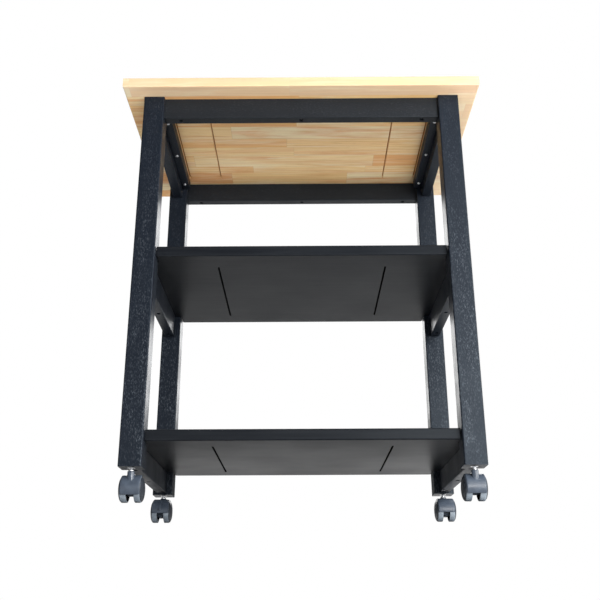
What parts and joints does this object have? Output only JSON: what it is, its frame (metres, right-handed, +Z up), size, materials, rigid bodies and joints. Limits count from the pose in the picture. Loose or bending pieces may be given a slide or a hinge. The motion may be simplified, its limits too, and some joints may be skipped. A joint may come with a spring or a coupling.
{
  "type": "rolling butcher block table",
  "caption": "Wheeled kitchen table with a thick butcher block top on a black square-post frame, two full-depth shelves set on side rails, and twin-wheel swivel casters under the posts.",
  "frame": {"origin": "on the floor under the middle of the worktop", "axes": "+X to the right seen from the front, +Y to the rear, +Z up"},
  "size_m": [0.762, 0.5, 0.883],
  "materials": {
    "butcher_block": "satin oiled, finger-jointed staves",
    "black_lacquer": "satin black lacquer over open-grained wood",
    "dowel_wood": "bare beech",
    "zinc": "bright zinc plating",
    "black_steel": "black oxide",
    "hood_plastic": "moulded, fine texture",
    "wheel_plastic": "hard moulded nylon"
  },
  "bodies": {
    "frame": {"butcher_block_top": "butcher_block", "post_front_left": "black_lacquer", "post_front_right": "black_lacquer", "post_rear_left": "black_lacquer", "post_rear_right": "black_lacquer", "apron_front": "black_lacquer", "apron_rear": "black_lacquer", "apron_left": "black_lacquer", "apron_right": "black_lacquer", "top_cleat_left": "black_lacquer", "top_cleat_right": "black_lacquer", "rail_upper_left": "black_lacquer", "rail_upper_right": "black_lacquer", "rail_lower_left": "black_lacquer", "rail_lower_right": "black_lacquer", "shelf_upper": "black_lacquer", "shelf_lower": "black_lacquer", "apron_screws": "zinc", "cleat_screws": "zinc", "toe_screws": "black_steel", "shelf_screws_upper": "zinc", "shelf_screws_lower": "zinc", "apron_dowels": "dowel_wood", "rail_dowels_upper": "dowel_wood", "rail_dowels_lower": "dowel_wood", "caster_inserts": "zinc", "stem_front_left": "zinc", "stem_front_right": "zinc", "stem_rear_left": "zinc", "stem_rear_right": "zinc"},
    "caster_front_left": {"hood_front_left": "hood_plastic", "axle_front_left": "zinc"},
    "caster_wheel_a_front_left": {"wheel_a_front_left": "wheel_plastic"},
    "caster_wheel_b_front_left": {"wheel_b_front_left": "wheel_plastic"},
    "caster_front_right": {"hood_front_right": "hood_plastic", "axle_front_right": "zinc"},
    "caster_wheel_a_front_right": {"wheel_a_front_right": "wheel_plastic"},
    "caster_wheel_b_front_right": {"wheel_b_front_right": "wheel_plastic"},
    "caster_rear_left": {"hood_rear_left": "hood_plastic", "axle_rear_left": "zinc"},
    "caster_wheel_a_rear_left": {"wheel_a_rear_left": "wheel_plastic"},
    "caster_wheel_b_rear_left": {"wheel_b_rear_left": "wheel_plastic"},
    "caster_rear_right": {"hood_rear_right": "hood_plastic", "axle_rear_right": "zinc"},
    "caster_wheel_a_rear_right": {"wheel_a_rear_right": "wheel_plastic"},
    "caster_wheel_b_rear_right": {"wheel_b_rear_right": "wheel_plastic"}
  },
  "joints": [
    {"name": "swivel_front_left", "type": "hinge", "parent": "frame", "child": "caster_front_left", "pos_m": [-0.319, -0.1905, 0.042], "axis": [0, 0, 1], "continuous": true},
    {"name": "roll_a_front_left", "type": "hinge", "parent": "caster_front_left", "child": "caster_wheel_a_front_left", "pos_m": [-0.319, -0.1735, 0.024], "axis": [1, 0, 0], "continuous": true},
    {"name": "roll_b_front_left", "type": "hinge", "parent": "caster_front_left", "child": "caster_wheel_b_front_left", "pos_m": [-0.319, -0.1735, 0.024], "axis": [1, 0, 0], "continuous": true},
    {"name": "swivel_front_right", "type": "hinge", "parent": "frame", "child": "caster_front_right", "pos_m": [0.319, -0.1905, 0.042], "axis": [0, 0, 1], "continuous": true},
    {"name": "roll_a_front_right", "type": "hinge", "parent": "caster_front_right", "child": "caster_wheel_a_front_right", "pos_m": [0.319, -0.1735, 0.024], "axis": [1, 0, 0], "continuous": true},
    {"name": "roll_b_front_right", "type": "hinge", "parent": "caster_front_right", "child": "caster_wheel_b_front_right", "pos_m": [0.319, -0.1735, 0.024], "axis": [1, 0, 0], "continuous": true},
    {"name": "swivel_rear_left", "type": "hinge", "parent": "frame", "child": "caster_rear_left", "pos_m": [-0.319, 0.1905, 0.042], "axis": [0, 0, 1], "continuous": true},
    {"name": "roll_a_rear_left", "type": "hinge", "parent": "caster_rear_left", "child": "caster_wheel_a_rear_left", "pos_m": [-0.319, 0.1735, 0.024], "axis": [1, 0, 0], "continuous": true},
    {"name": "roll_b_rear_left", "type": "hinge", "parent": "caster_rear_left", "child": "caster_wheel_b_rear_left", "pos_m": [-0.319, 0.1735, 0.024], "axis": [1, 0, 0], "continuous": true},
    {"name": "swivel_rear_right", "type": "hinge", "parent": "frame", "child": "caster_rear_right", "pos_m": [0.319, 0.1905, 0.042], "axis": [0, 0, 1], "continuous": true},
    {"name": "roll_a_rear_right", "type": "hinge", "parent": "caster_rear_right", "child": "caster_wheel_a_rear_right", "pos_m": [0.319, 0.1735, 0.024], "axis": [1, 0, 0], "continuous": true},
    {"name": "roll_b_rear_right", "type": "hinge", "parent": "caster_rear_right", "child": "caster_wheel_b_rear_right", "pos_m": [0.319, 0.1735, 0.024], "axis": [1, 0, 0], "continuous": true}
  ]
}
